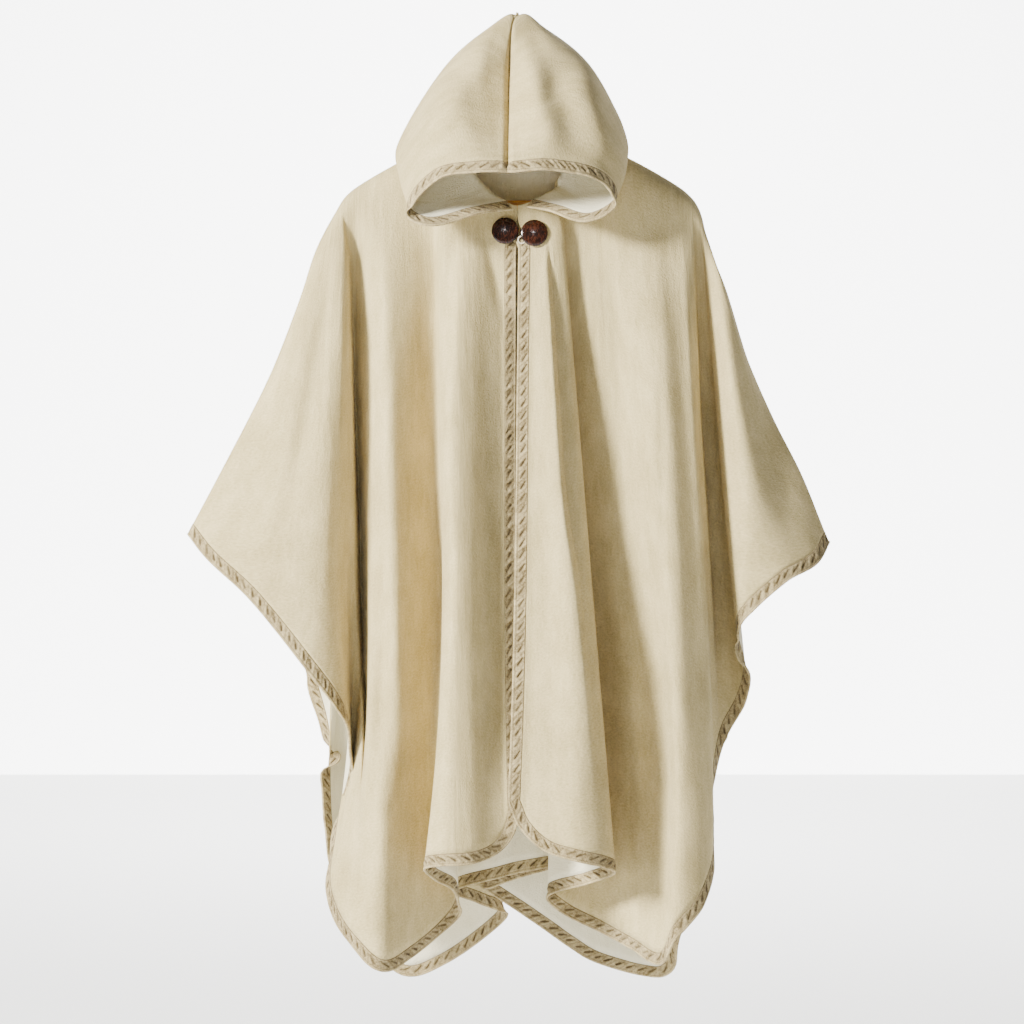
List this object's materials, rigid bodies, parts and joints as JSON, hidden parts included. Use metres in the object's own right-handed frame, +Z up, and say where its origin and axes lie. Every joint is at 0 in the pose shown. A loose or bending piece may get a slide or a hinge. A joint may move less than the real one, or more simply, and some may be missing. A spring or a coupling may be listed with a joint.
{
  "type": "hooded poncho on a wooden hanger",
  "caption": "Hooded poncho of thick felted wool, open down the front, with plaited edging and two round buttons at the neck, hung on a wooden hanger.",
  "frame": {"origin": "under the crown of the hanger's hook, where the hanger is held, in the plane of the shoulders", "axes": "+Z up, along the hook; the garment's front faces -Y; +X to the right as seen from the front"},
  "size_m": [0.7977, 0.2801, 1.2202],
  "materials": {
    "cloth": "brushed felted wool, matt",
    "edging": "plaited wool braid, matt",
    "buttons": "polished coconut shell, glossy",
    "loop": "twisted wool cord",
    "hanger_wood": "clear varnish, satin",
    "bar_wood": "clear varnish, satin",
    "hook_steel": "polished wire"
  },
  "bodies": {
    "root": {"front_left": "cloth", "front_right": "cloth", "back": "cloth", "hood_left": "cloth", "hood_right": "cloth", "edging_front_left": "edging", "edging_front_right": "edging", "edging_back": "edging", "edging_hood_left": "edging", "edging_hood_right": "edging", "button_left": "buttons", "button_right": "buttons", "button_loop": "loop", "hanger_arms": "hanger_wood", "hanger_bar": "bar_wood", "hanger_hook": "hook_steel"}
  },
  "joints": []
}
